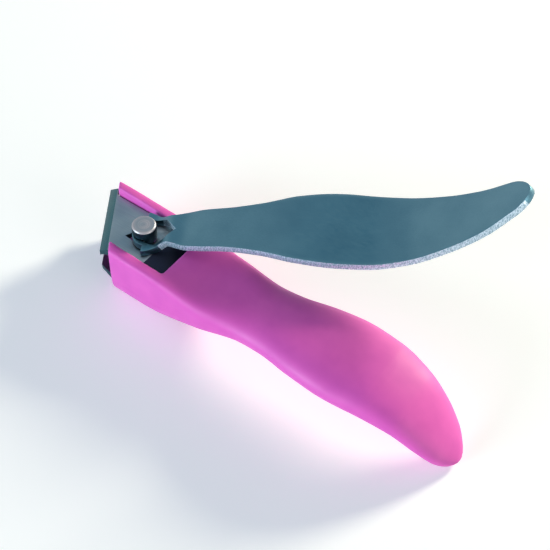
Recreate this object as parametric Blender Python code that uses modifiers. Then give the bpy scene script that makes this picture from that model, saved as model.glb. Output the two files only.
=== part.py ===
"""Nail clipper with a slanted cutting edge, a leaf-shaped handle and a swivelling lever.

Metres, +Z up. The origin is on the pivot pin's axis, on the flat under the head. +X runs to the
tail of the handle and +Y to the side that the lever is swung out to.
"""

import math

import bmesh
import bpy
import numpy as np
from mathutils import Matrix, Vector

MM = 0.001
NAME = "nail_clipper"

# Fits and cutters
GAP = 0.3 * MM  # between pieces that seat on each other
BEYOND = 60 * MM  # reach of a cutter outside the part
PAST = 1.0 * MM  # and past a face that it only has to cross
MERGE = 0.01 * MM

# Roundness
ROUND_SIDES = 40
HOLE_STEPS = 48
LATHE_STEPS = 48
CREASE = 40  # degrees from which an edge stays sharp,
LEVER_CREASE = 30  # and on the lever

# Finishes: (colour, roughness, metallic)
PINK = ((0.93, 0.12, 0.45), 0.55, 0.0)
BLADE_STEEL = ((0.16, 0.20, 0.21), 0.32, 0.9)
PIN_STEEL = ((0.30, 0.34, 0.36), 0.28, 0.95)
LEVER_STEEL = ((0.10, 0.20, 0.23), 0.35, 0.85)
PLAIN_STEEL = ((0.45, 0.46, 0.47), 0.35, 0.95)

# Handle: a deep channel at the head, a low saddle behind it, and a leaf-shaped tail
BLADE_TOP = 13.2 * MM  # height of the upper blade's flat top
HEAD_HALF_WIDTH = 8.75 * MM  # at the front
SHOULDER_HALF_WIDTH = 8.9 * MM  # beside the pocket's rear end and along the saddle
HEAD_MIDDLE = 8.35 * MM  # where the head is widest
FLOOR_WALL = 2.7 * MM  # floor of the channel
FRONT_WALL_RISE = 2.1 * MM  # wall tops above the blade, at the front
PIN_WALL_RISE = 1.45 * MM  # beside the pin
REAR_WALL_RISE = 1.0 * MM  # and at the pocket's rear end
FLAT_CUT = 0.35 * MM  # what the flat takes off the rounded underside
POCKET_REAR = 9.9 * MM  # rear end of the open channel, behind the pin
UNDERSIDE_X = 4.5 * MM  # rear end of the flat
SADDLE_X = 20.0 * MM
SADDLE_TOP = -0.1 * MM  # from the blade's top, as the other tops
WAIST_X = 31.0 * MM
WAIST_HALF_WIDTH = 8.0 * MM
WAIST_TOP = 0.6 * MM
WAIST_THICKNESS = 7.2 * MM
BELLY_X = 52.0 * MM
BELLY_HALF_WIDTH = 10.25 * MM
BELLY_TOP = 2.4 * MM
BELLY_THICKNESS = 7.85 * MM
TAIL_LENGTH = 79.7 * MM  # pin to the tip of the tail
TIP_THICKNESS = 2.4 * MM  # of the tail, before its end is rounded
TIP_ROUNDING = 4.5 * MM
# Between the waist and the belly: (share of the way, share of the gain in width)
WAIST_FLARE = ((0.24, 0.09), (0.60, 0.66))
# From the belly to the tip: (share of the way, share of the belly's half width, or of the fall)
TAIL_TAPER = ((0.25, 0.947), (0.52, 0.82), (0.73, 0.68), (0.87, 0.52), (1.0, 0.36))
TAIL_TOP_FALL = ((0.25, 0.005), (0.52, 0.155), (0.73, 0.455), (0.87, 0.73), (1.0, 1.0))
TAIL_UNDER_FALL = ((0.25, 0.0), (0.52, 0.135), (0.73, 0.50), (0.87, 0.84), (0.96, 1.0), (1.0, 1.0))
ROOF = 1.2 * MM  # least cover over the blades under the saddle
WALL_SQUARENESS = 14.0  # exponents of the rounded sections: tops of the head's walls,
UNDERSIDE_SQUARENESS = 3.4  # underside of the head,
TAIL_SQUARENESS = 2.3  # and the tail
HANDLE_STATIONS = 56
HANDLE_SIDES = 44
STATION_CROWDING = 1.35  # above 1, the stations lie closer together towards a tip

# Blades: two like leaves, riveted together at the rear, whose jaws meet on a plane through the hinge
LEAF = 1.4 * MM
LEAF_HALF_WIDTH = 6.0 * MM
JAW_HALF_WIDTH = 7.6 * MM
EDGE_X = -11.55 * MM  # cutting edge on the centre line
SLANT = math.radians(34.0)  # of the cutting edge, in plan
BEVEL_RUN = 2.4 * MM
BEVEL_DROP = 1.9 * MM
JAW_DEPTH = 3.2 * MM  # leaf top down to the cutting edge
JAW_SETBACK = 2.9 * MM  # cutting edge to the front of the handle, along X
LEAF_JOG_X = (4.4 * MM, 8.2 * MM)  # where each leaf bends towards the other
PIN_HOLE_TIP = 4.3 * MM  # pointed front end of the leaves' pin holes
HINGE_X = 31.5 * MM  # rear ends of the leaves, where they spring apart from
TANG_LENGTH = 12.5 * MM  # of the lower leaf, past the hinge
TANG_HALF_WIDTH = 4.0 * MM
CORNER = 1.0 * MM  # cut off each rear corner of a leaf
# Hollow inside of a jaw: (behind the edge, down from the leaf's top)
JAW_HEEL = ((2.9 * MM, 0.0), (1.3 * MM, 2.2 * MM))
OPEN_ANGLE = math.radians(4.5)

# Anchor pins, through both leaves into the handle
ANCHOR_SETBACK = 5.0 * MM  # from the rear ends of the leaves
ANCHOR_RADIUS = 1.3 * MM
ANCHOR_Y = 3.3 * MM
ANCHOR_DEPTH = 5.0 * MM

# Pivot pin
NECK_RADIUS = 1.9 * MM
CAP_RADIUS = 2.65 * MM
CAP_TOP = 4.1 * MM  # above the blade's top
CAP_CHAMFER = 0.55 * MM
CAP_ROUND = 0.3  # share of the chamfer at which it turns
CAP_UNDER_CHAMFER = 0.2 * MM
NOTCH_S = 0.4 * MM  # rear face of the notch that the bar of the lever's head sits in
DIMPLE_RADIUS = 1.3 * MM
DIMPLE_FLAT = 0.8 * MM  # radius of its floor
DIMPLE_DEPTH = 0.15 * MM
FOOT_RADIUS = 3.4 * MM
FOOT_THICKNESS = 0.7 * MM

# Lever, along its own length from the pin, before it is swung out
LEVER_SWING = math.radians(30.0)
LEVER_THICKNESS = 1.5 * MM
LEVER_LENGTH = 77.0 * MM
LEVER_HOLE_RADIUS = 3.5 * MM
LEVER_HOLE_TIP = 6.8 * MM  # pointed rear end of the hole
BAR_S = -1.3 * MM  # front of the hole, where the cap holds the lever
PLATE_FRONT = 0.1 * MM  # square shoulders of the head
PLATE_HALF_WIDTH = 5.6 * MM
NOSE_REACH = 2.7 * MM  # front of the nose that closes the hole, ahead of the shoulders
NOSE_HALF_WIDTH = 3.8 * MM
BEND_S = 2.35 * MM
BEND_END_S = 5.4 * MM
NECK_S = 4.9 * MM
NECK_HALF_WIDTH = 3.8 * MM
NECK_RISE = 3.6 * MM  # arm's top above the blade's, just behind the bend
LEAF_S = 42.0 * MM
LEAF_WIDEST = 9.9 * MM
LEAF_RISE = 8.6 * MM
TIP_RISE = 25.0 * MM
LEVER_TIP_ROUNDING = 3.0 * MM
LEVER_STATIONS = 38  # along the arm,
HEAD_STATIONS = 5
BEND_STATIONS = 7
LEVER_ACROSS = 11
NOSE_POINTS = 18
# From the neck to the widest place: (share of the way, share of the gain)
ARM_FLARE = ((0.125, 0.18), (0.214, 0.253), (0.324, 0.29), (0.532, 0.49), (0.74, 0.83), (0.94, 0.99))
ARM_CLIMB = ((0.085, 0.04), (0.18, 0.20), (0.30, 0.37), (0.51, 0.62), (0.73, 0.85))
# From there to the tip: (share of the way, share of the widest half width, or of the climb)
LEVER_TAPER = ((0.155, 0.98), (0.37, 0.887), (0.58, 0.737), (0.77, 0.572), (0.90, 0.42), (1.0, 0.31))
CURL = ((0.155, 0.016), (0.37, 0.10), (0.58, 0.28), (0.77, 0.53), (0.90, 0.79), (1.0, 1.0))

SKEW = math.tan(SLANT)
EDGE_PLANE = BLADE_TOP - JAW_DEPTH  # height of the plane on which the jaws meet, at the hinge
LEAF_JOG = JAW_DEPTH - LEAF - GAP / 2  # brings the two leaves together at the rear
CHANNEL_HALF_WIDTH = LEAF_HALF_WIDTH + GAP
TANG_REAR = HINGE_X + TANG_LENGTH
ANCHOR_X = HINGE_X - ANCHOR_SETBACK
CAP_BOTTOM = BLADE_TOP + GAP + LEVER_THICKNESS + GAP


# Helpers


def clear_scene():
    for old in list(bpy.data.objects):
        bpy.data.objects.remove(old, do_unlink=True)


def new_collection(name, hidden=False):
    collection = bpy.data.collections.new(name)
    bpy.context.scene.collection.children.link(collection)
    collection.hide_render = hidden
    return collection


def new_material(name, color, roughness, metallic):
    material = bpy.data.materials.new(name)
    material.use_nodes = True
    shader = material.node_tree.nodes["Principled BSDF"]
    shader.inputs["Base Color"].default_value = (*color, 1.0)
    shader.inputs["Roughness"].default_value = roughness
    shader.inputs["Metallic"].default_value = metallic
    material.diffuse_color = (*color, 1.0)
    return material


def curve_through(points, at):
    """A smooth curve through (x, value) points, which doesn't overshoot them."""
    x, y = np.array(points, dtype=float).T
    step = np.diff(x)
    slope = np.diff(y) / step
    tangent = np.zeros(len(x))
    for i in range(1, len(x) - 1):
        if slope[i - 1] * slope[i] > 0:
            before, after = 2 * step[i] + step[i - 1], step[i] + 2 * step[i - 1]
            tangent[i] = (before + after) / (before / slope[i - 1] + after / slope[i])
    tangent[0], tangent[-1] = slope[0], slope[-1]
    i = int(np.clip(np.searchsorted(x, at) - 1, 0, len(x) - 2))
    t = np.clip((at - x[i]) / step[i], 0.0, 1.0)
    return float(
        y[i] * (1 + 2 * t) * (1 - t) ** 2
        + tangent[i] * step[i] * t * (1 - t) ** 2
        + y[i + 1] * t * t * (3 - 2 * t)
        + tangent[i + 1] * step[i] * t * t * (t - 1)
    )


def object_of(mesh, name, collection, material=None, smooth=None):
    obj = bpy.data.objects.new(name, mesh)
    collection.objects.link(obj)
    if material:
        mesh.materials.append(material)
    if smooth is not None:
        mesh.shade_smooth()
        mesh.set_sharp_from_angle(angle=math.radians(smooth))
    return obj


def finished(bm, name):
    bmesh.ops.recalc_face_normals(bm, faces=bm.faces)
    mesh = bpy.data.meshes.new(name)
    bm.to_mesh(mesh)
    bm.free()
    return mesh


def prism(name, outline, low, high, to_world=lambda u, v, w: (u, v, w)):
    """A mesh that runs from low to high over a flat outline of (u, v) points."""
    bm = bmesh.new()
    face = bm.faces.new([bm.verts.new(to_world(u, v, low)) for u, v in outline])
    top = bmesh.ops.extrude_face_region(bm, geom=[face])["geom"]
    moved = [v for v in top if isinstance(v, bmesh.types.BMVert)]
    shift = Vector(to_world(0, 0, high)) - Vector(to_world(0, 0, low))
    bmesh.ops.translate(bm, verts=moved, vec=shift)
    return finished(bm, name)


def side_view(u, v, w):
    """Places an outline drawn in X and Z, and runs it along Y."""
    return (u, w, v)


def cylinder(name, radius, low, high, x=0.0, y=0.0):
    bm = bmesh.new()
    bmesh.ops.create_cone(
        bm, cap_ends=True, segments=ROUND_SIDES, radius1=radius, radius2=radius, depth=high - low
    )
    bmesh.ops.translate(bm, verts=bm.verts, vec=(x, y, (low + high) / 2))
    return finished(bm, name)


def add_cutter(mesh, name):
    cutter = object_of(mesh, name, cutters)
    cutter.hide_render = True
    cutter.display_type = "WIRE"
    return cutter


def boolean(obj, cutter, operation="DIFFERENCE"):
    modifier = obj.modifiers.new(cutter.name, "BOOLEAN")
    modifier.operation = operation
    modifier.solver = "EXACT"
    modifier.object = cutter


def turn_about_hinge(angle):
    """Turns a mesh about the blades' hinge line, front down."""
    hinge = Vector((HINGE_X, 0.0, EDGE_PLANE))
    turn = Matrix.Rotation(-angle, 4, "Y")
    return Matrix.Translation(hinge) @ turn @ Matrix.Translation(-hinge)


def edge_x(y, behind=0.0):
    """X of a line parallel to the cutting edge, at a place across the head."""
    return EDGE_X + behind - SKEW * y


# Handle


def between(start, end, shares):
    """Points from start to end, both (x, value), at (share of the way, share of the change)."""
    (x0, y0), (x1, y1) = start, end
    return [(x0 + way * (x1 - x0), y0 + change * (y1 - y0)) for way, change in shares]


def tip_round(x, end, length):
    """Share of its section that a piece keeps near a rounded end, from 1 down to a small end face."""
    into = min(max((x - end + length) / length, 0.0), 0.99)
    return math.sqrt(1 - into * into)


def handle_half_width(x):
    waist, belly = (WAIST_X, WAIST_HALF_WIDTH), (BELLY_X, BELLY_HALF_WIDTH)
    points = [(-BEYOND, HEAD_HALF_WIDTH), (EDGE_X, HEAD_HALF_WIDTH)]
    points += [(POCKET_REAR, SHOULDER_HALF_WIDTH), (SADDLE_X, SHOULDER_HALF_WIDTH)]
    points += [waist, *between(waist, belly, WAIST_FLARE), belly]
    tail = TAIL_LENGTH - BELLY_X
    points += [(BELLY_X + way * tail, share * BELLY_HALF_WIDTH) for way, share in TAIL_TAPER]
    return curve_through(points, x)


def handle_top(x):
    belly, tip = (BELLY_X, BLADE_TOP + BELLY_TOP), (TAIL_LENGTH, TIP_THICKNESS)
    points = [(-BEYOND, BLADE_TOP + FRONT_WALL_RISE), (EDGE_X, BLADE_TOP + FRONT_WALL_RISE)]
    points += [(0.0, BLADE_TOP + PIN_WALL_RISE), (POCKET_REAR, BLADE_TOP + REAR_WALL_RISE)]
    points += [(SADDLE_X, BLADE_TOP + SADDLE_TOP), (WAIST_X, BLADE_TOP + WAIST_TOP)]
    points += [belly, *between(belly, tip, TAIL_TOP_FALL)]
    return curve_through(points, x)


def handle_bottom(x):
    belly = (BELLY_X, BLADE_TOP + BELLY_TOP - BELLY_THICKNESS)
    points = [(-BEYOND, -FLAT_CUT), (UNDERSIDE_X, -FLAT_CUT)]
    points += [(WAIST_X, BLADE_TOP + WAIST_TOP - WAIST_THICKNESS)]
    points += [belly, *between(belly, (TAIL_LENGTH, 0.0), TAIL_UNDER_FALL)]
    return curve_through(points, x)


def handle_ring(x):
    """Points of one section: a rounded form whose upper and lower halves differ at the head."""
    round_off = tip_round(x, TAIL_LENGTH, TIP_ROUNDING)
    tail = min(max((x - POCKET_REAR) / (WAIST_X - POCKET_REAR), 0.0), 1.0)
    high, low = handle_top(x), handle_bottom(x)
    middle = HEAD_MIDDLE + tail * ((high + low) / 2 - HEAD_MIDDLE)
    half = handle_half_width(x) * round_off
    above, below = (high - middle) * round_off, (middle - low) * round_off
    top_power = 2 / (WALL_SQUARENESS * (TAIL_SQUARENESS / WALL_SQUARENESS) ** tail)
    low_power = 2 / (UNDERSIDE_SQUARENESS + tail * (TAIL_SQUARENESS - UNDERSIDE_SQUARENESS))
    for j in range(HANDLE_SIDES):
        turn = math.tau * (j + 0.5) / HANDLE_SIDES
        c, s = math.cos(turn), math.sin(turn)
        power, reach = (top_power, above) if s > 0 else (low_power, below)
        y, z = half * math.copysign(abs(c) ** power, c), reach * math.copysign(abs(s) ** power, s)
        yield x, y, middle + z


def loft_handle():
    front = edge_x(HEAD_HALF_WIDTH)
    bm = bmesh.new()
    rings = []
    for i in range(HANDLE_STATIONS + 1):
        left = (1 - i / HANDLE_STATIONS) ** STATION_CROWDING
        x = TAIL_LENGTH + (front - TAIL_LENGTH) * left
        rings.append([bm.verts.new(point) for point in handle_ring(x)])
    for one, other in zip(rings, rings[1:]):
        for j in range(HANDLE_SIDES):
            k = (j + 1) % HANDLE_SIDES
            bm.faces.new((one[j], one[k], other[k], other[j]))
    bm.faces.new(rings[0])
    bm.faces.new(rings[-1])
    return finished(bm, "handle_body")


def leaf_under(x, extra=0.0):
    """Height of the lower leaf's underside behind its jog, with a clearance below it."""
    plane = EDGE_PLANE - math.tan(OPEN_ANGLE) * (HINGE_X - x)
    return plane - GAP / 2 - LEAF / math.cos(OPEN_ANGLE) - extra


def build_handle():
    pink = new_material("pink_soft_touch", *PINK)
    handle = object_of(loft_handle(), "handle_body", parts, pink, CREASE)
    cut_line = [(edge_x(y, JAW_SETBACK), y) for y in (-BEYOND, BEYOND)]
    ahead = [(-3 * BEYOND, BEYOND), (-3 * BEYOND, -BEYOND)]
    slanted = prism("front_cut", [*cut_line, *ahead], -BEYOND, BEYOND)
    boolean(handle, add_cutter(slanted, "front_cut"))

    ground = [(-BEYOND, -BEYOND), (2 * BEYOND, -BEYOND), (2 * BEYOND, BEYOND), (-BEYOND, BEYOND)]
    boolean(handle, add_cutter(prism("flat_cut", ground, -BEYOND, 0.0), "flat_cut"))

    channel = prism(
        "channel_cut",
        [(-BEYOND, FLOOR_WALL), (POCKET_REAR, FLOOR_WALL), (POCKET_REAR, BEYOND), (-BEYOND, BEYOND)],
        -CHANNEL_HALF_WIDTH,
        CHANNEL_HALF_WIDTH,
        side_view,
    )
    boolean(handle, add_cutter(channel, "channel_cut"))

    roof = BLADE_TOP + SADDLE_TOP - ROOF
    start, end = POCKET_REAR - PAST, HINGE_X + GAP
    under = prism(
        "leaf_cavity_cut",
        [(start, leaf_under(start, GAP)), (end, leaf_under(end, GAP)), (end, roof), (start, roof)],
        -CHANNEL_HALF_WIDTH,
        CHANNEL_HALF_WIDTH,
        side_view,
    )
    boolean(handle, add_cutter(under, "leaf_cavity_cut"))

    slot = prism(
        "tang_cut",
        [
            (HINGE_X - PAST, EDGE_PLANE - GAP / 2 - LEAF - GAP),
            (TANG_REAR + GAP, EDGE_PLANE - GAP / 2 - LEAF - GAP),
            (TANG_REAR + GAP, EDGE_PLANE - GAP / 2 + GAP),
            (HINGE_X - PAST, EDGE_PLANE - GAP / 2 + GAP),
        ],
        -TANG_HALF_WIDTH - GAP,
        TANG_HALF_WIDTH + GAP,
        side_view,
    )
    slot.transform(turn_about_hinge(OPEN_ANGLE))
    boolean(handle, add_cutter(slot, "tang_cut"))

    for side, name in ((-1, "near"), (1, "far")):
        hole = cylinder(
            f"anchor_hole_{name}",
            ANCHOR_RADIUS + GAP,
            anchor_top() - ANCHOR_DEPTH - GAP,
            anchor_top() + GAP,
            ANCHOR_X,
            side * ANCHOR_Y,
        )
        boolean(handle, add_cutter(hole, f"anchor_hole_{name}"))
    return handle


# Blades


def leaf_mesh(name):
    """One leaf, jaw down: a bent strip whose front lines run along the slanted edge."""
    jog_near, jog_far = LEAF_JOG_X
    back = TANG_REAR if name == "lower_blade" else HINGE_X
    top, under = 0.0, -LEAF
    front = [(EDGE_X + behind, min(under, -down)) for behind, down in JAW_HEEL]
    front += [
        (EDGE_X, -JAW_DEPTH),
        (EDGE_X, -BEVEL_DROP),
        (EDGE_X + BEVEL_RUN, top),
    ]
    rear = [
        (jog_near, top),
        (jog_far, top - LEAF_JOG),
        (back, top - LEAF_JOG),
        (back, under - LEAF_JOG),
        (jog_far, under - LEAF_JOG),
        (jog_near, under),
    ]
    bm = bmesh.new()
    sides = []
    for y in (-JAW_HALF_WIDTH, JAW_HALF_WIDTH):
        ring = [bm.verts.new((x - SKEW * y, y, z + BLADE_TOP)) for x, z in front]
        ring += [bm.verts.new((x, y, z + BLADE_TOP)) for x, z in rear]
        sides.append(ring)
    near, far = sides
    for i in range(len(near)):
        k = (i + 1) % len(near)
        bm.faces.new((near[i], near[k], far[k], far[i]))
    bm.faces.new(near)
    bm.faces.new(far)
    return finished(bm, name)


def leaf_plan(name):
    """Outline of a leaf from above: jaws as wide as the handle, a narrower leaf, and a tang."""
    out = JAW_HALF_WIDTH + PAST
    step = JAW_SETBACK - GAP
    wide, narrow = JAW_HALF_WIDTH, LEAF_HALF_WIDTH
    near = [
        (edge_x(-out) - BEYOND, -wide - PAST),
        (edge_x(-wide, step), -wide - PAST),
        (edge_x(-wide, step), -wide),
        (edge_x(-narrow, step), -narrow),
        (HINGE_X - CORNER, -narrow),
        (HINGE_X, -narrow + CORNER),
    ]
    far = [
        (HINGE_X, narrow - CORNER),
        (HINGE_X - CORNER, narrow),
        (edge_x(narrow, step), narrow),
        (edge_x(wide, step), wide),
        (edge_x(wide, step), wide + PAST),
        (edge_x(out) - BEYOND, wide + PAST),
    ]
    tang = []
    if name == "lower_blade":
        back = TANG_REAR + PAST
        tang = [(HINGE_X, -TANG_HALF_WIDTH), (back, -TANG_HALF_WIDTH)]
        tang += [(back, TANG_HALF_WIDTH), (HINGE_X, TANG_HALF_WIDTH)]
    return near + tang + far


def pin_hole_outline(radius, front_tip, rear_tip, centre=0.0):
    """A round hole with a pointed end at the front, at the rear or at both."""
    points = []
    for i in range(HOLE_STEPS):
        turn = math.tau * i / HOLE_STEPS
        x, y = math.cos(turn), math.sin(turn)
        reach = rear_tip if x > 0 else front_tip
        along = centre + radius * x
        if reach > radius:
            # The tip's sides are tangents from it to the round hole.
            along_tip = centre + math.copysign(reach, x)
            angle = math.acos(radius / reach)
            if abs(math.atan2(y, abs(x))) < angle:
                share = 1 - abs(math.atan2(y, abs(x))) / angle
                touch_x = centre + math.copysign(radius * math.cos(angle), x)
                touch_y = radius * math.sin(angle)
                along = touch_x + (along_tip - touch_x) * share
                points.append((along, math.copysign(touch_y * (1 - share), y)))
                continue
        points.append((along, radius * y))
    return points


def build_blade(name, material):
    mesh = leaf_mesh(name)
    blade = object_of(mesh, name, parts, material)
    plan = prism(f"{name}_plan", leaf_plan(name), -BEYOND, BEYOND)
    boolean(blade, add_cutter(plan, f"{name}_plan"), "INTERSECT")

    outline = pin_hole_outline(NECK_RADIUS + 2 * GAP, PIN_HOLE_TIP, 0.0)
    hole = prism(f"{name}_pin_hole", outline, -BEYOND, BEYOND)
    hole.transform(Matrix.Rotation(LEVER_SWING, 4, "Z"))
    boolean(blade, add_cutter(hole, f"{name}_pin_hole"))
    for side, where in ((-1, "near"), (1, "far")):
        label = f"{name}_bore_{where}"
        bore = cylinder(label, ANCHOR_RADIUS + GAP, -BEYOND, BEYOND, ANCHOR_X, side * ANCHOR_Y)
        boolean(blade, add_cutter(bore, label))
    return blade


def turn_into_lower(blade):
    """Turns a leaf over about the plane that the jaws meet on, and opens it about the hinge."""
    flip = Matrix.Translation((0, 0, 2 * EDGE_PLANE)) @ Matrix.Diagonal((1, 1, -1, 1))
    mesh = blade.data
    mesh.transform(turn_about_hinge(OPEN_ANGLE) @ flip)
    mesh.flip_normals()


def build_blades():
    steel = new_material("black_nickel_steel", *BLADE_STEEL)
    upper = build_blade("upper_blade", steel)
    upper_origin = Vector((HINGE_X, 0.0, EDGE_PLANE))
    upper.data.transform(Matrix.Translation(-upper_origin))
    upper.location = upper_origin
    lower = build_blade("lower_blade", steel.copy())
    turn_into_lower(lower)
    return upper, lower


def anchor_top():
    return BLADE_TOP - LEAF_JOG + GAP / 2


def build_anchor_pins():
    steel = new_material("plain_steel", *PLAIN_STEEL)
    for side, name in ((-1, "anchor_pin_near"), (1, "anchor_pin_far")):
        low, high = anchor_top() - ANCHOR_DEPTH, anchor_top()
        mesh = cylinder(name, ANCHOR_RADIUS, -(high - low) / 2, (high - low) / 2)
        pin = object_of(mesh, name, parts, steel, CREASE)
        pin.location = (ANCHOR_X, side * ANCHOR_Y, (low + high) / 2)


# Pivot pin


def build_pivot_pin():
    steel = new_material("pin_steel", *PIN_STEEL)
    lower_outside = EDGE_PLANE - math.tan(OPEN_ANGLE) * (HINGE_X + FOOT_RADIUS) - JAW_DEPTH
    foot_top = lower_outside - GAP
    foot_bottom = foot_top - FOOT_THICKNESS
    top = BLADE_TOP + CAP_TOP
    seat = BLADE_TOP + GAP
    profile = [
        (0.0, top - DIMPLE_DEPTH),
        (DIMPLE_FLAT, top - DIMPLE_DEPTH),
        (DIMPLE_RADIUS, top),
        (CAP_RADIUS - CAP_CHAMFER, top),
        (CAP_RADIUS - CAP_CHAMFER * CAP_ROUND, top - CAP_CHAMFER * CAP_ROUND),
        (CAP_RADIUS, top - CAP_CHAMFER),
        (CAP_RADIUS, seat + CAP_UNDER_CHAMFER),
        (CAP_RADIUS - CAP_UNDER_CHAMFER, seat),
        (NECK_RADIUS, seat),
        (NECK_RADIUS, foot_top),
        (FOOT_RADIUS, foot_top),
        (FOOT_RADIUS, foot_bottom),
        (0.0, foot_bottom),
    ]
    mesh = bpy.data.meshes.new("pivot_pin")
    points = [(x, 0.0, z) for x, z in profile]
    mesh.from_pydata(points, [(i, i + 1) for i in range(len(points) - 1)], [])
    pin = object_of(mesh, "pivot_pin", parts, steel)
    turn = pin.modifiers.new("turn", "SCREW")
    turn.steps = turn.render_steps = LATHE_STEPS
    turn.use_merge_vertices = True
    turn.merge_threshold = MERGE
    turn.use_smooth_shade = True

    notch = [(-BEYOND, -BEYOND), (NOTCH_S, -BEYOND), (NOTCH_S, BEYOND), (-BEYOND, BEYOND)]
    cut = prism("pin_notch", notch, seat - GAP / 2, CAP_BOTTOM)
    cut.transform(Matrix.Rotation(LEVER_SWING, 4, "Z"))
    boolean(pin, add_cutter(cut, "pin_notch"))
    return pin


# Lever


def lever_rise(s):
    """Height of the lever's top above the blade's top, along the lever."""
    plate = GAP + LEVER_THICKNESS
    neck, widest, tip = (BEND_END_S, NECK_RISE), (LEAF_S, LEAF_RISE), (LEVER_LENGTH, TIP_RISE)
    points = [(-BEYOND, plate), (BEND_S, plate), neck, *between(neck, widest, ARM_CLIMB)]
    return curve_through([*points, widest, *between(widest, tip, CURL)], s)


def lever_half_width(s):
    neck, widest = (NECK_S, NECK_HALF_WIDTH), (LEAF_S, LEAF_WIDEST)
    points = [(-BEYOND, PLATE_HALF_WIDTH), (PLATE_FRONT, PLATE_HALF_WIDTH)]
    points += [neck, *between(neck, widest, ARM_FLARE), widest]
    taper = LEVER_LENGTH - LEAF_S
    points += [(LEAF_S + way * taper, share * LEAF_WIDEST) for way, share in LEVER_TAPER]
    return curve_through(points, s) * tip_round(s, LEVER_LENGTH, LEVER_TIP_ROUNDING)


def lever_stations():
    head = np.linspace(-NOSE_REACH - PAST, BEND_S, HEAD_STATIONS)
    bend = np.linspace(BEND_S, BEND_END_S, BEND_STATIONS)[1:]
    reach = np.linspace(0.0, 1.0, LEVER_STATIONS)[1:]
    arm = LEVER_LENGTH + (BEND_END_S - LEVER_LENGTH) * (1 - reach) ** STATION_CROWDING
    return [float(s) for s in (*head, *bend, *arm)]


def lever_sheet():
    bm = bmesh.new()
    rows = []
    for s in lever_stations():
        half = lever_half_width(s)
        top = BLADE_TOP + lever_rise(s)
        sides = np.linspace(-half, half, LEVER_ACROSS + 1)
        rows.append([bm.verts.new((s, float(t), top)) for t in sides])
    for one, other in zip(rows, rows[1:]):
        for j in range(LEVER_ACROSS):
            bm.faces.new((one[j], other[j], other[j + 1], one[j + 1]))
    return finished(bm, "lever")


def build_lever():
    steel = new_material("lever_steel", *LEVER_STEEL)
    mesh = lever_sheet()
    if mesh.polygons[0].normal.z < 0:
        mesh.flip_normals()
    lever = object_of(mesh, "lever", parts, steel, LEVER_CREASE)
    shell = lever.modifiers.new("plate", "SOLIDIFY")
    shell.thickness = LEVER_THICKNESS
    shell.offset = -1.0
    shell.use_even_offset = True

    # Outline of the head: square shoulders with a round nose that closes the hole in front.
    nose = [(PLATE_FRONT, -BEYOND)]
    for turn in np.linspace(-math.pi / 2, math.pi / 2, NOSE_POINTS):
        ahead, aside = NOSE_REACH * math.cos(turn), NOSE_HALF_WIDTH * math.sin(turn)
        nose.append((PLATE_FRONT - ahead, aside))
    nose += [(PLATE_FRONT, BEYOND), (-BEYOND, BEYOND), (-BEYOND, -BEYOND)]
    boolean(lever, add_cutter(prism("lever_head_cut", nose, -PAST, BEYOND), "lever_head_cut"))

    centre = BAR_S + LEVER_HOLE_RADIUS
    hole = pin_hole_outline(LEVER_HOLE_RADIUS, 0.0, LEVER_HOLE_TIP - centre, centre)
    boolean(lever, add_cutter(prism("lever_hole", hole, -PAST, BEYOND), "lever_hole"))

    swing = Matrix.Rotation(LEVER_SWING, 4, "Z")
    lever.matrix_world = swing
    for name in ("lever_head_cut", "lever_hole"):
        bpy.data.objects[name].matrix_world = swing
    return lever


clear_scene()
parts = new_collection(NAME)
cutters = new_collection("cutters", hidden=True)
build_handle()
build_blades()
build_anchor_pins()
build_pivot_pin()
build_lever()
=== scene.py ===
# %% [markdown]
# # Dressing a nail clipper
# The clipper's solids come as a fixed frame, in metres, and this lesson puts the finished surfaces
# on them. The solids are kept, so that a piece can take its size from a solid's own box.

import math

import bpy
from mathutils import Matrix, Vector


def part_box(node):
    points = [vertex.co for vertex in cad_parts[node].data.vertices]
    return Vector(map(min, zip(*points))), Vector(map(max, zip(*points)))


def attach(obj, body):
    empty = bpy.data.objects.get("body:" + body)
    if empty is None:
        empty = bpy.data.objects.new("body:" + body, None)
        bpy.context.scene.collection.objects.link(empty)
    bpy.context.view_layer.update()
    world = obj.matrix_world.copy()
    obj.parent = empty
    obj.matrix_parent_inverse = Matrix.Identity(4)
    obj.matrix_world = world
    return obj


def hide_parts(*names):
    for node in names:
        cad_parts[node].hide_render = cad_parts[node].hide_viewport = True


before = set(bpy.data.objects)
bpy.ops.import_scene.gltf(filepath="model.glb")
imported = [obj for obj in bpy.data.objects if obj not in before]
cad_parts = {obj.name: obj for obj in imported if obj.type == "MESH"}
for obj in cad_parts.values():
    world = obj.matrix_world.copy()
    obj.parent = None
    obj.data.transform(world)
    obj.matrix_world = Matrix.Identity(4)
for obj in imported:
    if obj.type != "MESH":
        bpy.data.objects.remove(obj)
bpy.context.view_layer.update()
MM = 0.001

# %% [markdown]
# The camera comes first, since everything else is judged through it. A picture fixes a camera by
# its direction, its roll, its lens and where one known point falls. The known point here is the
# pin's axis at the top of the upper blade. A shift isn't needed: the camera is moved sideways
# instead, until that point falls on its pixel.

# %% Camera
PHOTO_SIDE = 550.0  # pixels
PIN_PIXEL = (145.1, 237.2)  # where the pin's axis meets the blade's top
FOCAL_PIXELS = 1110.0
SENSOR = 36.0
CAMERA_TURN = math.radians(34.3)
CAMERA_RISE = math.radians(49.6)
CAMERA_ROLL = math.radians(2.2)
CAMERA_DISTANCE = 237.5 * MM
NEAREST_SEEN = 10 * MM
BLADE_TOP = 13.2 * MM  # of the upper blade, above the flat that the clipper rests on
PIN_POINT = Vector((0.0, 0.0, BLADE_TOP))


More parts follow.
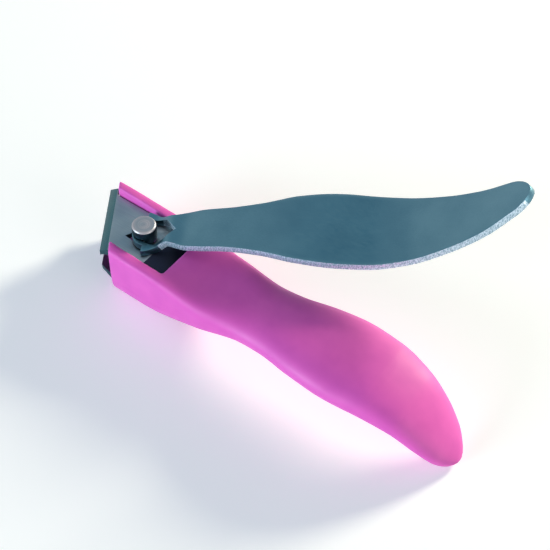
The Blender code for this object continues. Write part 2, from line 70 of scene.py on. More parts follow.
def camera_axes():
    level = math.cos(CAMERA_RISE)
    ahead, aside = math.cos(CAMERA_TURN), math.sin(CAMERA_TURN)
    back = Vector((aside * level, -ahead * level, math.sin(CAMERA_RISE)))
    right = Vector((ahead, aside, 0.0))
    up = back.cross(right)
    lean, rise = math.cos(CAMERA_ROLL), math.sin(CAMERA_ROLL)
    return right * lean + up * rise, up * lean - right * rise, back


def place_camera():
    right, up, back = camera_axes()
    half = PHOTO_SIDE / 2
    aside = (PIN_PIXEL[0] - half) * CAMERA_DISTANCE / FOCAL_PIXELS
    above = (half - PIN_PIXEL[1]) * CAMERA_DISTANCE / FOCAL_PIXELS
    place = PIN_POINT + back * CAMERA_DISTANCE - right * aside - up * above
    data = bpy.data.cameras.new("camera")
    data.sensor_width = SENSOR
    data.lens = FOCAL_PIXELS / PHOTO_SIDE * SENSOR
    data.clip_start = NEAREST_SEEN
    camera = bpy.data.objects.new("camera", data)
    bpy.context.scene.collection.objects.link(camera)
    turned = Matrix((right, up, back)).transposed().to_4x4()
    camera.matrix_world = Matrix.Translation(place) @ turned
    bpy.context.scene.camera = camera
    return camera


camera = place_camera()
print("camera at", [round(c, 4) for c in camera.location], "lens", round(camera.data.lens, 2))

# %% [markdown]
# A finish is a small graph of nodes. Writing it as Python sums keeps it readable: one class wraps
# a node's output, and each sum on it adds a Math node. A second class holds the material and adds
# every other kind of node through one method. Colours are never summed. They go through a Mix
# node, because a Math node would turn them grey. That node has sockets of one name for numbers,
# vectors and colours, so the ones for colours are found by their places. Noise keeps close to
# 0.5, so a span around that is spread over the whole change of a colour or a roughness.

# %% Shader sums
MIX_SHARE, MIX_ONE, MIX_OTHER, MIX_RESULT = 0, 6, 7, 2
EVEN = (1.0, 1.0, 1.0)
COLOR_SPAN = (0.35, 0.65)
ROUGHNESS_SPAN = (0.3, 0.7)


class Number:
    """An output of a node, which can be used in sums."""

    def __init__(self, finish, socket):
        self.finish, self.socket = finish, socket

    def sum_with(self, operation, first, second):
        return self.finish.node("Math", {"operation": operation}, {0: first, 1: second})

    def __add__(self, other):
        return self.sum_with("ADD", self, other)

    def __radd__(self, other):
        return self.sum_with("ADD", other, self)

    def __mul__(self, other):
        return self.sum_with("MULTIPLY", self, other)

    def __rmul__(self, other):
        return self.sum_with("MULTIPLY", other, self)


class Finish:
    """A material whose nodes are added one by one."""

    def __init__(self, name):
        self.material = bpy.data.materials.new(name)
        self.material.use_nodes = True
        self.tree = self.material.node_tree
        self.shader = self.tree.nodes["Principled BSDF"]

    def node(self, kind, settings=None, sockets=None, out=0):
        """Adds a node, makes its settings first, and then gives its sockets values or links."""
        node = self.tree.nodes.new("ShaderNode" + kind)
        for name, value in (settings or {}).items():
            setattr(node, name, value)
        for name, value in (sockets or {}).items():
            self.put(node.inputs[name], value)
        return Number(self, node.outputs[out])

    def put(self, socket, value):
        if isinstance(value, Number):
            self.tree.links.new(value.socket, socket)
        elif isinstance(value, tuple) and len(value) == 3 and socket.type == "RGBA":
            socket.default_value = (*value, 1.0)
        else:
            socket.default_value = value

    def put_all(self, **values):
        for name, value in values.items():
            self.put(self.shader.inputs[name.replace("_", " ").title()], value)

    def mix(self, share, one, other):
        """A colour between two others."""
        sockets = {MIX_SHARE: share, MIX_ONE: one, MIX_OTHER: other}
        return self.node("Mix", {"data_type": "RGBA"}, sockets, MIX_RESULT)

    def place(self, stretch=EVEN, turn=0.0):
        """The point on the piece, turned and stretched for a pattern."""
        where = self.node("TexCoord", out="Object")
        sockets = {"Vector": where, "Rotation": (0.0, 0.0, turn), "Scale": stretch}
        return self.node("Mapping", sockets=sockets)

    def noise(self, size, detail=2.0, rough=0.5, stretch=EVEN, turn=0.0):
        """Soft noise whose blotches are about size metres across."""
        where = self.place(stretch, turn)
        sockets = {"Vector": where, "Scale": 1 / size, "Detail": detail, "Roughness": rough}
        return self.node("TexNoise", sockets=sockets)

    def between(self, value, low, high, start=0.0, end=1.0):
        """Maps low..high of a value to start..end, and stops there."""
        ends = {"From Min": low, "From Max": high, "To Min": start, "To Max": end}
        return self.node("MapRange", sockets={"Value": value, **ends})

    def bump(self, height, depth, strength):
        sockets = {"Height": height, "Distance": depth, "Strength": strength}
        return self.node("Bump", sockets=sockets)


print("shader sums are ready")

# %% [markdown]
# The handle is coated with a soft-touch lacquer over moulded plastic. It is matt, has a faint
# lilac sheen at a glancing look, and its skin is finely pebbled. Two noises do it: a coarse one
# that varies the pink a little, as on any handled coating, and a fine one for the pebbles.

# %% Soft-touch pink
PINK = (0.88, 0.115, 0.55)
PINK_DEEP = (0.82, 0.10, 0.52)
LILAC = (0.85, 0.65, 1.0)
MOTTLE_SIZE = 6 * MM
PEBBLE_SIZE = 0.16 * MM
PEBBLE_HEIGHT = 0.012 * MM
COAT_SMOOTHEST, COAT_ROUGHEST = 0.50, 0.60
SHEEN, SHEEN_ROUGHNESS = 0.25, 0.45


def soft_touch():
    finish = Finish("soft_touch_pink")
    mottle = finish.noise(MOTTLE_SIZE, detail=3.0)
    pebbles = finish.noise(PEBBLE_SIZE, detail=1.0)
    share = finish.between(mottle, *COLOR_SPAN)
    finish.put_all(base_color=finish.mix(share, PINK, PINK_DEEP))
    roughness = finish.between(mottle, *ROUGHNESS_SPAN, COAT_SMOOTHEST, COAT_ROUGHEST)
    finish.put_all(roughness=roughness)
    finish.put_all(normal=finish.bump(pebbles, PEBBLE_HEIGHT, 0.6))
    finish.put_all(sheen_weight=SHEEN, sheen_roughness=SHEEN_ROUGHNESS, sheen_tint=LILAC)
    return finish.material


pink = soft_touch()
print("made", pink.name)

# %% [markdown]
# The metal is steel with a black-nickel plating, which leaves it dark and a little green-blue.
# Rolled sheet keeps fine straight lines from the rolls and the belt. A noise that is stretched
# fiftyfold along one direction gives such lines, and it drives both the roughness and a very
# shallow bump. One function makes the sheet of the blades and the lever, the ground cutting
# bevel, the near-black painted shade on the blades' rear, the pin's barrel and the plain pins.

# %% Black-nickel steel
LINE_WIDTH = 0.09 * MM
LINE_DEPTH = 0.004 * MM
LINE_STRETCH = (0.02, 1.0, 1.0)
CLOUD_SIZE = 7 * MM
CLOUD_SHARE, LINE_SHARE = 0.6, 0.4
CLOUD_SPAN = (0.38, 0.62)
SMOOTHER, ROUGHER = -0.06, 0.08  # how far the lines vary the roughness


def brushed(name, color, darker, roughness, turn=0.0):
    """Plated sheet with fine lines along the X axis, turned by an angle about Z."""
    finish = Finish(name)
    lines = finish.noise(LINE_WIDTH, stretch=LINE_STRETCH, turn=-turn)
    cloud = finish.noise(CLOUD_SIZE)
    share = finish.between(cloud * CLOUD_SHARE + lines * LINE_SHARE, *CLOUD_SPAN)
    finish.put_all(base_color=finish.mix(share, color, darker), metallic=1.0)
    smoothest, roughest = roughness + SMOOTHER, roughness + ROUGHER
    finish.put_all(roughness=finish.between(lines, *ROUGHNESS_SPAN, smoothest, roughest))
    finish.put_all(normal=finish.bump(lines, LINE_DEPTH, 0.5))
    return finish.material


BLADE_GREY = (0.27, 0.32, 0.36)
BLADE_DARK = (0.21, 0.26, 0.30)
GROUND_TEAL = (0.018, 0.098, 0.118)
GROUND_DARK = (0.012, 0.078, 0.10)
LEVER_TEAL = (0.10, 0.21, 0.265)
LEVER_DARK = (0.08, 0.18, 0.235)
# The next colour is painted shade: the blades' rear, under the lever and between the walls, is made
# near-black.
PAINTED_SHADE_BLACK = (0.022, 0.028, 0.05)
LEVER_SWING = math.radians(30.0)
SLANT = math.radians(34.0)
GRINDING_TURN = math.pi / 2 + SLANT
blade_steel = brushed("blade_black_nickel", BLADE_GREY, BLADE_DARK, 0.42)
ground_steel = brushed("blade_ground_bevel", GROUND_TEAL, GROUND_DARK, 0.30, GRINDING_TURN)
lever_steel = brushed("lever_black_nickel", LEVER_TEAL, LEVER_DARK, 0.36, LEVER_SWING)
# Painted shade for the blades' rear, which lies under the lever.
painted_shade_steel = brushed("blade_painted_shade", PAINTED_SHADE_BLACK, PAINTED_SHADE_BLACK, 0.55)
print("made", blade_steel.name, ground_steel.name, lever_steel.name, painted_shade_steel.name)

# %% [markdown]
# A stamped plate has two kinds of edge in one: the punch first shears it bright and then tears
# the rest. The lever's rim is left like that. A coarse noise, squeezed into upright streaks,
# breaks the bright band into glints.

# %% Sheared rim
RIM_BRIGHT = (0.62, 0.74, 0.84)
RIM_TORN = (0.22, 0.36, 0.44)
STREAK_SIZE = 0.24 * MM
STREAK_STRETCH = (1.0, 1.0, 0.45)
STREAK_DEPTH = 0.02 * MM
TORN_SPAN = (0.42, 0.60)
SHEARED_ROUGHNESS, TORN_ROUGHNESS = 0.34, 0.60
RIM_METALLIC = 0.55


def sheared_rim():
    finish = Finish("sheared_rim")
    streaks = finish.noise(STREAK_SIZE, 3.0, 0.7, STREAK_STRETCH, -LEVER_SWING)
    torn = finish.between(streaks, *TORN_SPAN)
    finish.put_all(base_color=finish.mix(torn, RIM_BRIGHT, RIM_TORN), metallic=RIM_METALLIC)
    finish.put_all(roughness=finish.between(torn, 0.0, 1.0, SHEARED_ROUGHNESS, TORN_ROUGHNESS))
    finish.put_all(normal=finish.bump(streaks, STREAK_DEPTH, 0.6))
    return finish.material


rim_steel = sheared_rim()
print("made", rim_steel.name)

# %% [markdown]
# The pivot pin is turned on a lathe, so its marks are rings about its own axis. The distance from
# the axis, taken as the length of the X and Y of the point, feeds a noise in one direction only.
# Below the rubbed cap its barrel keeps the dark plating.

# %% Turned steel
PIN_STEEL = (0.42, 0.40, 0.42)
PIN_DARK = (0.26, 0.265, 0.29)
BARREL_TEAL = (0.045, 0.085, 0.11)
BARREL_DARK = (0.03, 0.06, 0.085)
PLAIN_GREY = (0.55, 0.56, 0.57)
PLAIN_DARK = (0.45, 0.46, 0.47)
RING_WIDTH = 0.12 * MM
RING_DEPTH = 0.006 * MM
RINGS_SMOOTHEST, RINGS_ROUGHEST = 0.34, 0.46
FLATTEN = (1.0, 1.0, 0.0)


def turned_steel():
    finish = Finish("pin_turned_steel")
    flat = finish.place(FLATTEN)
    radius = finish.node("VectorMath", {"operation": "LENGTH"}, {0: flat}, "Value")
    along = finish.node("CombineXYZ", sockets={"X": radius})
    sockets = {"Vector": along, "Scale": 1 / RING_WIDTH, "Detail": 1.0}
    rings = finish.node("TexNoise", sockets=sockets)
    share = finish.between(rings, *COLOR_SPAN)
    finish.put_all(base_color=finish.mix(share, PIN_STEEL, PIN_DARK), metallic=1.0)
    roughness = finish.between(rings, *ROUGHNESS_SPAN, RINGS_SMOOTHEST, RINGS_ROUGHEST)
    finish.put_all(roughness=roughness)
    finish.put_all(normal=finish.bump(rings, RING_DEPTH, 0.4))
    return finish.material


pin_steel = turned_steel()
barrel_steel = brushed("pin_dark_barrel", BARREL_TEAL, BARREL_DARK, 0.38)
plain_steel = brushed("plain_steel", PLAIN_GREY, PLAIN_DARK, 0.35)
print("made", pin_steel.name, barrel_steel.name, plain_steel.name)

# %% [markdown]
# A few helpers serve every piece. An operator works on all that is selected, so one clears the
# selection and one then picks a single object. One applies a modifier for good. One gives a
# finished piece its finishes and its body, and hides the solid that it stands for. The last copies
# a solid, for a piece that starts from it.

# %% Helpers for pieces
MERGE = 0.002 * MM
STILL_FLAT = math.radians(0.5)


def deselect():
    bpy.ops.object.select_all(action="DESELECT")


def pick(piece):
    deselect()
    piece.select_set(True)
    bpy.context.view_layer.objects.active = piece


def apply(piece, kind, **settings):
    """Adds a modifier, makes its settings and applies it."""
    pick(piece)
    modifier = piece.modifiers.new(kind.lower(), kind)
    for name, value in settings.items():
        setattr(modifier, name, value)
    bpy.ops.object.modifier_apply(modifier=modifier.name)


def dress(piece, body, slot, node, *finishes):
    piece.data.materials.clear()
    for finish in finishes:
        piece.data.materials.append(finish)
    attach(piece, body)
    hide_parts(node)
    print(piece.name, len(piece.data.polygons), "faces")


def copy_of(node, name):
    """A copy of a solid, whose loose triangles are merged and whose flat faces are whole again."""
    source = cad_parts[node]
    piece = bpy.data.objects.new(name, source.data.copy())
    bpy.context.scene.collection.objects.link(piece)
    pick(piece)
    bpy.ops.object.mode_set(mode="EDIT")
    bpy.ops.mesh.select_all(action="SELECT")
    bpy.ops.mesh.remove_doubles(threshold=MERGE)
    bpy.ops.mesh.dissolve_limited(angle_limit=STILL_FLAT)
    bpy.ops.object.mode_set(mode="OBJECT")
    return piece


print("helpers are ready")

# %% [markdown]
# The moulded handle has no sharp edge anywhere: the coating and the mould round every one. Its
# solid has the right form but sharp cuts. A bevel would stumble over the many small faces where
# cuts cross the curved walls. Remeshing the whole into even cells and smoothing it rounds every
# edge alike, by about the size of a cell or two, as a thick coating does.

# %% Handle
CELL = 0.29 * MM
SMOOTHINGS = 9


def coat_handle():
    piece = copy_of("handle_body", "handle")
    apply(piece, "REMESH", mode="VOXEL", voxel_size=CELL, use_smooth_shade=True)
    apply(piece, "SMOOTH", factor=0.5, iterations=SMOOTHINGS)
    dress(piece, "handle", "handle", "handle_body", pink)


coat_handle()

# %% [markdown]
# Each blade is a leaf of steel whose front is ground to a slanted edge. Its faces are flat, so a
# narrow bevel on the sharp edges is enough to let them catch light. The ground strip in front is
# picked by its normal, which leans forward, and gets the ground finish. Behind the pin the leaf
# steps down into the handle, under the lever, and that part is painted near-black as painted shade.

# %% Blades
BLADE_BEVEL = 0.09 * MM
BLADE_CREASE = math.radians(25)
GROUND_LEANS = math.radians(30), math.radians(75)  # least and most, off straight ahead
# Blade faces behind this get the near-black painted shade.
PAINTED_SHADE_FROM_X = 4.5 * MM
GROUND, PAINTED_SHADE = 1, 2  # places in the blade's row of finishes


def sharp_only(angle):
    """A bevel's settings for the edges that turn by more than the angle."""
    return {"segments": 2, "limit_method": "ANGLE", "angle_limit": angle}


def finish_blade(node, name, body):
    piece = copy_of(node, name)
    apply(piece, "BEVEL", width=BLADE_BEVEL, **sharp_only(BLADE_CREASE))
    pick(piece)
    bpy.ops.object.shade_smooth_by_angle(angle=BLADE_CREASE)
    dress(piece, body, "blade", node, blade_steel, ground_steel, painted_shade_steel)
    ahead = Vector((-math.cos(SLANT), -math.sin(SLANT), 0.0))
    least, most = GROUND_LEANS
    for face in piece.data.polygons:
        if least < face.normal.angle(ahead) < most and face.center.x < 0:
            face.material_index = GROUND
        # The rear, under the lever, gets the painted shade.
        elif face.center.x > PAINTED_SHADE_FROM_X:
            face.material_index = PAINTED_SHADE
    print("ground faces:", sum(face.material_index == GROUND for face in piece.data.polygons))


finish_blade("upper_blade", "upper_jaw_blade", "upper_jaw")
finish_blade("lower_blade", "lower_jaw_blade", "handle")

# %% [markdown]
# The pin is a lathe piece. Its half profile is drawn as a row of points and spun about the axis.
# The poles close by merging, and the normals are made to point outwards before the edges are
# shaded. A mill then cuts the notch for the bar of the lever's head into one side of the barrel,
# and the pin's upright sides get the dark finish.

# %% Pivot pin
PIN_LOW, PIN_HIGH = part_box("pivot_pin")
NECK_RADIUS = 1.9 * MM
CAP_RADIUS = 2.65 * MM
BARREL_LOW = BLADE_TOP + 0.3 * MM
BARREL_CHAMFER = 0.2 * MM
NOTCH_S = 0.4 * MM
NOTCH_LOW, NOTCH_HIGH = BLADE_TOP + 0.15 * MM, BLADE_TOP + 2.1 * MM
CAP_ROUND = 0.55 * MM
ROUND_STEPS = 6
DIMPLE_RADIUS = 1.35 * MM
DIMPLE_DEPTH = 0.16 * MM
DIMPLE_STEPS = 5
FOOT_THICKNESS = 0.7 * MM
FOOT_CHAMFER = 0.1 * MM
LATHE_STEPS = 72
PAST = 2 * CAP_RADIUS  # well outside the pin
PIN_CREASE = math.radians(35)
BARREL_LEVEL = 0.35  # faces whose normals are more level than this are the dark barrel


def cap_profile(top):
    """From the dimple's middle to the cap's side, as (distance from the axis, height)."""
    points = [(0.0, top - DIMPLE_DEPTH)]
    for i in range(1, DIMPLE_STEPS + 1):  # the dimple rises to its rim along a shallow curve
        share = i / DIMPLE_STEPS
        points.append((DIMPLE_RADIUS * share, top - DIMPLE_DEPTH * (1 - share * share)))
    points.append((CAP_RADIUS - CAP_ROUND, top))
    for i in range(1, ROUND_STEPS + 1):  # the cap's edge is a quarter round
        turn = math.pi / 2 * i / ROUND_STEPS
        inward, down = CAP_ROUND * (1 - math.sin(turn)), CAP_ROUND * (1 - math.cos(turn))
        points.append((CAP_RADIUS - inward, top - down))
    return points


def pin_profile():
    foot, foot_top = PIN_LOW.z, PIN_LOW.z + FOOT_THICKNESS
    wide = (PIN_HIGH.x - PIN_LOW.x) / 2
    narrow = wide - FOOT_CHAMFER
    points = cap_profile(PIN_HIGH.z)
    points += [(CAP_RADIUS, BARREL_LOW + BARREL_CHAMFER), (CAP_RADIUS - BARREL_CHAMFER, BARREL_LOW)]
    points += [(NECK_RADIUS, BARREL_LOW), (NECK_RADIUS, foot_top)]
    points += [(narrow, foot_top), (wide, foot_top - FOOT_CHAMFER)]
    points += [(wide, foot + FOOT_CHAMFER), (narrow, foot), (0.0, foot)]
    return points


def turn_pin():
    points = pin_profile()
    deselect()
    bpy.ops.mesh.primitive_plane_add(size=MM)
    piece = bpy.context.object
    piece.name = "pin"
    bpy.ops.object.mode_set(mode="EDIT")
    bpy.ops.mesh.merge(type="CENTER")
    bpy.ops.transform.translate(value=(points[0][0], 0.0, points[0][1]))
    for one, other in zip(points, points[1:]):
        step = (other[0] - one[0], 0.0, other[1] - one[1])
        bpy.ops.mesh.extrude_region_move(TRANSFORM_OT_translate={"value": step})
    bpy.ops.mesh.select_all(action="SELECT")
    bpy.ops.mesh.spin(steps=LATHE_STEPS, angle=math.tau, center=(0, 0, 0), axis=(0, 0, 1))
    bpy.ops.mesh.select_all(action="SELECT")
    bpy.ops.mesh.remove_doubles(threshold=MERGE)
    bpy.ops.mesh.normals_make_consistent(inside=False)
    bpy.ops.object.mode_set(mode="OBJECT")
    return piece


def cut_notch(piece):
    """Mills the notch that the bar of the lever's head sits in, on the side away from the lever."""
    deselect()
    bpy.ops.mesh.primitive_cube_add(size=1.0)
    mill = bpy.context.object
    for point in mill.data.vertices:
        point.co.x = NOTCH_S if point.co.x > 0 else -PAST
        point.co.y *= 2 * PAST
        point.co.z = NOTCH_HIGH if point.co.z > 0 else NOTCH_LOW
    mill.rotation_euler = (0.0, 0.0, LEVER_SWING)
    bpy.ops.object.transform_apply(location=False, rotation=True, scale=False)
    apply(piece, "BOOLEAN", operation="DIFFERENCE", object=mill, solver="EXACT")
    bpy.data.objects.remove(mill)
    pick(piece)
    bpy.ops.object.shade_smooth_by_angle(angle=PIN_CREASE)
    dress(piece, "pin", "pin", "pivot_pin", pin_steel, barrel_steel)
    for face in piece.data.polygons:
        face.material_index = int(abs(face.normal.z) < BARREL_LEVEL)


pin = turn_pin()
cut_notch(pin)

# %% [markdown]
# The lever is stamped from sheet and pressed to shape: a flat head with a hole, a low bend, an arm
# and a leaf that curls up at its tip. A grid is the natural start, since it bends along its rows.
# Each row is moved to its place along the lever, spread to the lever's width there and lifted to
# its height. The smooth curves between a few measured widths and heights come from a cubic that
# doesn't overshoot them.

# %% Lever: curves
LEVER_THICKNESS = 1.5 * MM
LEVER_LENGTH = 77.0 * MM
PLATE_RISE = 1.8 * MM  # the head's top above the blade's
PLATE_HALF_WIDTH = 5.6 * MM
PLATE_FRONT = 0.1 * MM
BEND_S = 2.35 * MM
BEND_END_S = 5.4 * MM
NECK_S = 4.9 * MM
NECK_HALF_WIDTH = 3.8 * MM
NECK_RISE = 3.6 * MM
LEAF_S = 42.0 * MM
LEAF_WIDEST = 9.9 * MM
LEAF_RISE = 8.6 * MM
TIP_RISE = 25.0 * MM
LEVER_TIP_ROUNDING = 3.0 * MM
FULLEST_ROUNDING = 0.99  # of the tip's round end, so that its last row keeps a width
# From the neck to the widest place: (share of the way, share of the gain)
ARM_FLARE = (
    (0.125, 0.18), (0.214, 0.253), (0.324, 0.29), (0.532, 0.49), (0.74, 0.83), (0.94, 0.99)
)
ARM_CLIMB = ((0.085, 0.04), (0.18, 0.20), (0.30, 0.37), (0.51, 0.62), (0.73, 0.85))
# From there to the tip: (share of the way, share of the widest half width, or of the climb)
LEVER_TAPER = (
    (0.155, 0.98), (0.37, 0.887), (0.58, 0.737), (0.77, 0.572), (0.90, 0.42), (1.0, 0.31)
)
CURL = ((0.155, 0.016), (0.37, 0.10), (0.58, 0.28), (0.77, 0.53), (0.90, 0.79), (1.0, 1.0))
FAR = 60 * MM


def curve_through(points, at):
    """A smooth curve through (x, value) points, which doesn't overshoot them."""
    x, y = [p[0] for p in points], [p[1] for p in points]
    step = [b - a for a, b in zip(x, x[1:])]
    slope = [(b - a) / s for a, b, s in zip(y, y[1:], step)]
    tangent = [slope[0]]
    for i in range(1, len(x) - 1):
        if slope[i - 1] * slope[i] <= 0:  # a crest or a trough is level
            tangent.append(0.0)
            continue
        before, after = 2 * step[i] + step[i - 1], step[i] + 2 * step[i - 1]
        tangent.append((before + after) / (before / slope[i - 1] + after / slope[i]))
    tangent.append(slope[-1])
    i = max(k for k in range(len(step)) if k == 0 or at >= x[k])
    t = min(max((at - x[i]) / step[i], 0.0), 1.0)
    pull = tangent[i] * (1 - t) - tangent[i + 1] * t
    return y[i] + (y[i + 1] - y[i]) * t * t * (3 - 2 * t) + step[i] * t * (1 - t) * pull


def between(start, end, shares):
    (x0, y0), (x1, y1) = start, end
    return [(x0 + way * (x1 - x0), y0 + change * (y1 - y0)) for way, change in shares]


def lever_rise(s):
    neck, widest, tip = (BEND_END_S, NECK_RISE), (LEAF_S, LEAF_RISE), (LEVER_LENGTH, TIP_RISE)
    points = [(-FAR, PLATE_RISE), (BEND_S, PLATE_RISE), neck, *between(neck, widest, ARM_CLIMB)]
    return curve_through([*points, widest, *between(widest, tip, CURL)], s)


def lever_half_width(s):
    neck, widest = (NECK_S, NECK_HALF_WIDTH), (LEAF_S, LEAF_WIDEST)
    points = [(-FAR, PLATE_HALF_WIDTH), (PLATE_FRONT, PLATE_HALF_WIDTH)]
    points += [neck, *between(neck, widest, ARM_FLARE), widest]
    for way, share in LEVER_TAPER:
        points.append((LEAF_S + way * (LEVER_LENGTH - LEAF_S), share * LEAF_WIDEST))
    into = (s - LEVER_LENGTH + LEVER_TIP_ROUNDING) / LEVER_TIP_ROUNDING
    into = min(max(into, 0.0), FULLEST_ROUNDING)
    return curve_through(points, s) * math.sqrt(1 - into * into)


print("lever is", round(2 * lever_half_width(LEAF_S) / MM, 1), "mm at its widest")

# %% [markdown]
# The rows lie closer together towards the tip, where the outline turns fastest. The sheet gets
# its thickness downwards. Its head is then trimmed to square shoulders with a round nose, and the
# hole is punched: a circle whose rear points are merged into one and pulled back to a tip.

# %% Lever: sheet and hole
ROWS = 150
COLUMNS = 20
CROWDING = 1.12  # above 1, the rows lie closer together towards the tip
FRONT_MARGIN = MM
NOSE_REACH = 2.7 * MM
NOSE_HALF_WIDTH = 3.8 * MM
HOLE_RADIUS = 3.5 * MM
HOLE_TIP = 6.8 * MM
BAR_S = -1.3 * MM  # front of the hole, behind the bar that sits in the pin's notch
HOLE_CENTRE = BAR_S + HOLE_RADIUS
NOSE_STEPS, HOLE_STEPS = 90, 64
NOSE_TURN = 0.013  # so that none of its points lies on the shoulders' own plane


def row_place(share):
    """Where a row lies along the lever."""
    front = -NOSE_REACH - FRONT_MARGIN
    return LEVER_LENGTH + (front - LEVER_LENGTH) * (1 - share) ** CROWDING


def lever_sheet():
    deselect()
    bpy.ops.mesh.primitive_grid_add(x_subdivisions=ROWS, y_subdivisions=COLUMNS, size=2.0)
    piece = bpy.context.object
    piece.name = "pressed_lever"
    for point in piece.data.vertices:
        s = row_place((point.co.x + 1) / 2)
        point.co = (s, point.co.y * lever_half_width(s), BLADE_TOP + lever_rise(s))
    apply(piece, "SOLIDIFY", thickness=LEVER_THICKNESS, offset=-1.0, use_even_offset=True)
    return piece


def trim_head(piece):
    """Keeps what lies behind the shoulders or inside the nose."""
    deselect()
    turned = (0, 0, NOSE_TURN)
    bpy.ops.mesh.primitive_cylinder_add(vertices=NOSE_STEPS, radius=1.0, depth=FAR, rotation=turned)
    nose = bpy.context.object
    bpy.ops.object.transform_apply(location=False, rotation=True, scale=False)
    for point in nose.data.vertices:
        point.co.x = point.co.x * NOSE_REACH + PLATE_FRONT
        point.co.y *= NOSE_HALF_WIDTH
    bpy.ops.mesh.primitive_cube_add(size=4 * FAR, location=(PLATE_FRONT + 2 * FAR, 0, 0))
    keep = bpy.context.object
    apply(keep, "BOOLEAN", operation="UNION", object=nose, solver="EXACT")
    apply(piece, "BOOLEAN", operation="INTERSECT", object=keep, solver="EXACT")
    for tool in (nose, keep):
        bpy.data.objects.remove(tool)


def punch_hole(piece):
    deselect()
    centre = (HOLE_CENTRE, 0, 0)
    bpy.ops.mesh.primitive_circle_add(
        vertices=HOLE_STEPS, radius=HOLE_RADIUS, fill_type="NGON", location=centre
    )
    punch = bpy.context.object
    reach = HOLE_TIP - HOLE_CENTRE
    touch = HOLE_RADIUS * HOLE_RADIUS / reach
    bpy.ops.object.mode_set(mode="EDIT")
    bpy.ops.mesh.select_all(action="DESELECT")
    bpy.ops.mesh.select_mode(type="VERT")
    bpy.ops.object.mode_set(mode="OBJECT")
    for point in punch.data.vertices:
        point.select = point.co.x > touch
    bpy.ops.object.mode_set(mode="EDIT")
    bpy.ops.mesh.merge(type="CENTER")
    bpy.ops.object.mode_set(mode="OBJECT")
    for point in punch.data.vertices:
        if point.select:
            point.co = (reach, 0.0, 0.0)
    bpy.ops.object.mode_set(mode="EDIT")
    bpy.ops.mesh.select_all(action="SELECT")
    bpy.ops.mesh.extrude_region_move(TRANSFORM_OT_translate={"value": (0, 0, FAR)})
    bpy.ops.mesh.select_all(action="SELECT")
    bpy.ops.mesh.normals_make_consistent(inside=False)
    bpy.ops.object.mode_set(mode="OBJECT")
    apply(piece, "BOOLEAN", operation="DIFFERENCE", object=punch, solver="EXACT")
    bpy.data.objects.remove(punch)


lever = lever_sheet()
trim_head(lever)
punch_hole(lever)
print("lever sheet:", len(lever.data.vertices), "points")

# %% [markdown]
# The rim's edges are rounded by a narrow bevel, and the rim's own faces are picked by their level
# normals for the sheared finish. Last, the lever is swung out to where it stands, and the turn is
# applied, so that its place is in its mesh.

# %% Lever: rim and place
RIM_BEVEL = 0.16 * MM
RIM_SHARP = math.radians(50)
RIM_CREASE = math.radians(35)
RIM_LEVEL = 0.45  # faces whose normals are more level than this are the rim
RIM_FROM_S = 3.6 * MM  # the head's own edges are dark


def finish_lever(piece):
    apply(piece, "BEVEL", width=RIM_BEVEL, **sharp_only(RIM_SHARP))
    pick(piece)
    piece.rotation_euler = (0.0, 0.0, LEVER_SWING)
    bpy.ops.object.transform_apply(location=False, rotation=True, scale=False)
    bpy.ops.object.shade_smooth_by_angle(angle=RIM_CREASE)
    dress(piece, "lever", "lever", "lever", lever_steel, rim_steel)
    along = Vector((math.cos(LEVER_SWING), math.sin(LEVER_SWING), 0.0))
    for face in piece.data.polygons:
        if abs(face.normal.z) < RIM_LEVEL and face.center.dot(along) > RIM_FROM_S:
            face.material_index = 1
    rim = sum(face.material_index for face in piece.data.polygons)
    print("rim faces:", rim)


finish_lever(lever)

# %% [markdown]
# The two plain pins that hold the leaves together are hidden in the handle. Their solids are right
# as they are, so they stay and only get their finish.

# %% Anchor pins
for name in ("anchor_pin_near", "anchor_pin_far"):
    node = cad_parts[name]
    node.data.materials.clear()
    node.data.materials.append(plain_steel)
    print("finished", name)

# %% [markdown]
# The stage is a plain pale floor. Its colour is nearly white, and a little light of its own that
# only the camera and mirror-like rays see brings it to the white of the backdrop without lighting
# the object. That glow grows with the distance from the clipper: near it the shadow stays, and
# far off the floor meets the backdrop without a seam.

# %% Stage
FLOOR_SIDE = 3000 * MM
FLOOR_WHITE = (0.93, 0.93, 0.95)
FLOOR_ROUGHNESS = 0.9
GLOW = (0.27, 0.275, 0.285)  # near the clipper, where the floor's shadows show,
WHITE = (1.0, 1.0, 1.0)  # and far off, where it meets the backdrop
GLOW_NEAR, GLOW_FAR = 120 * MM, 450 * MM


def pale_floor():
    finish = Finish("pale_floor")
    by_camera = finish.node("LightPath", out="Is Camera Ray")
    by_mirror = finish.node("LightPath", out="Is Glossy Ray")
    finish.put_all(base_color=FLOOR_WHITE, roughness=FLOOR_ROUGHNESS)
    where = finish.node("TexCoord", out="Object")
    reach = finish.node("VectorMath", {"operation": "LENGTH"}, {0: where}, "Value")
    color = finish.mix(finish.between(reach, GLOW_NEAR, GLOW_FAR), GLOW, WHITE)
    glow = finish.node("Emission", sockets={"Color": color, "Strength": 1.0})
    plain = Number(finish, finish.shader.outputs[0])
    both = finish.node("AddShader", sockets={0: plain, 1: glow})
    mixed = finish.node("MixShader", sockets={0: by_camera + by_mirror, 1: plain, 2: both})
    finish.put(finish.tree.nodes["Material Output"].inputs["Surface"], mixed)
    deselect()
    bpy.ops.mesh.primitive_plane_add(size=FLOOR_SIDE)
    floor = bpy.context.object
    floor.name = "floor"
    floor.data.materials.append(finish.material)
    return floor


floor = pale_floor()
print("floor at z", floor.location.z)

# %% [markdown]
# Three soft lamps and an even sky light the clipper. The warm key stands beyond it and throws the
# lever's soft shadow onto the handle. A weak lamp at the tail's end lights what the key only
# grazes, and a cooler, wide one on the near side fills the wall that faces the camera. Polished
# metal shows its surroundings more than its lamps, so mirror-like rays see a sky of their own.

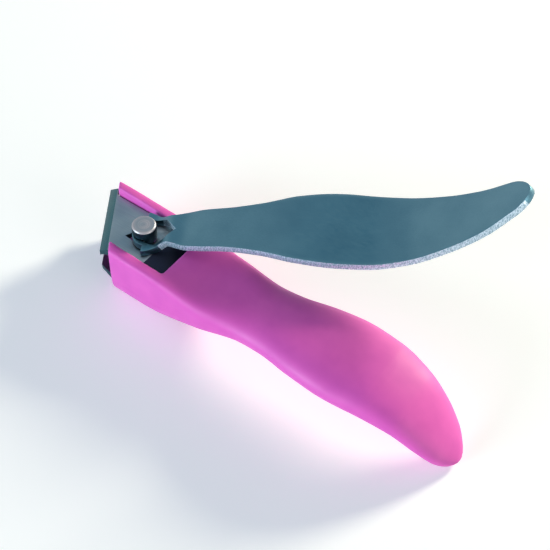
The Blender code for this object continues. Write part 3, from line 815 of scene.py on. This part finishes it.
# %% Light
LOOK_AT = Vector((0.035, 0.01, 0.01))
LAMP_DISTANCE = 900 * MM
KEY_FROM, RIGHT_FROM, FILL_FROM = (0.24, 0.91, 0.36), (0.95, -0.10, 0.28), (-0.42, -0.90, 0.12)
KEY_SIZE, RIGHT_SIZE, FILL_SIZE = 200 * MM, 500 * MM, 600 * MM
KEY_WATTS, RIGHT_WATTS, FILL_WATTS = 9.5, 2.0, 9.8
KEY_TINT, RIGHT_TINT, FILL_TINT = (1.0, 0.95, 0.72), (1.0, 0.95, 0.86), (0.69, 0.88, 1.0)
SKY_STRENGTH = 0.22
SKY_TINT = (0.70, 0.84, 1.0)
BACKDROP = (0.94, 0.97, 1.0)
DIM_PATCH = (-0.33, 0.56, 0.76)
PATCH_BLUE = (0.13, 0.40, 0.56)
PATCH_EDGE, PATCH_HEART = 0.93, 0.985  # cosines of the angle to its middle


def solid(color):
    return (*color, 1.0)


def lamp(name, direction, size, watts, color):
    data = bpy.data.lights.new(name, "AREA")
    data.shape, data.size, data.energy, data.color = "DISK", size, watts, color
    light = bpy.data.objects.new(name, data)
    bpy.context.scene.collection.objects.link(light)
    toward = Vector(direction).normalized()
    light.location = LOOK_AT + toward * LAMP_DISTANCE
    light.rotation_euler = toward.to_track_quat("Z", "Y").to_euler()


def mirrored_sky(nodes, links):
    """What polished metal sees: the pale backdrop, with a darker and bluer patch up on the left."""
    where = nodes.new("ShaderNodeTexCoord")
    toward = nodes.new("ShaderNodeVectorMath")
    toward.operation = "DOT_PRODUCT"
    toward.inputs[1].default_value = Vector(DIM_PATCH).normalized()
    share = nodes.new("ShaderNodeMapRange")
    share.inputs["From Min"].default_value = PATCH_EDGE
    share.inputs["From Max"].default_value = PATCH_HEART
    color = nodes.new("ShaderNodeMix")
    color.data_type = "RGBA"
    color.inputs[MIX_ONE].default_value = solid(BACKDROP)
    color.inputs[MIX_OTHER].default_value = solid(PATCH_BLUE)
    links.new(where.outputs["Generated"], toward.inputs[0])
    links.new(toward.outputs["Value"], share.inputs["Value"])
    links.new(share.outputs[0], color.inputs[MIX_SHARE])
    return color.outputs[MIX_RESULT]


def sky():
    """Lights the clipper evenly, while mirror-like rays and the camera see other backdrops."""
    world = bpy.data.worlds.new("sky")
    bpy.context.scene.world = world
    world.use_nodes = True
    nodes, links = world.node_tree.nodes, world.node_tree.links
    last = nodes["Background"]
    last.inputs["Color"].default_value = solid(SKY_TINT)
    last.inputs["Strength"].default_value = SKY_STRENGTH
    path = nodes.new("ShaderNodeLightPath")
    mirrored, seen = nodes.new("ShaderNodeBackground"), nodes.new("ShaderNodeBackground")
    links.new(mirrored_sky(nodes, links), mirrored.inputs["Color"])
    seen.inputs["Color"].default_value = solid(WHITE)
    for ray, shown in (("Is Glossy Ray", mirrored), ("Is Camera Ray", seen)):
        mix = nodes.new("ShaderNodeMixShader")
        links.new(path.outputs[ray], mix.inputs[0])
        links.new(last.outputs[0], mix.inputs[1])
        links.new(shown.outputs[0], mix.inputs[2])
        last = mix
    links.new(last.outputs[0], nodes["World Output"].inputs["Surface"])


lamp("key", KEY_FROM, KEY_SIZE, KEY_WATTS, KEY_TINT)
lamp("right", RIGHT_FROM, RIGHT_SIZE, RIGHT_WATTS, RIGHT_TINT)
lamp("fill", FILL_FROM, FILL_SIZE, FILL_WATTS, FILL_TINT)
sky()
bpy.context.scene.view_settings.view_transform = "Standard"
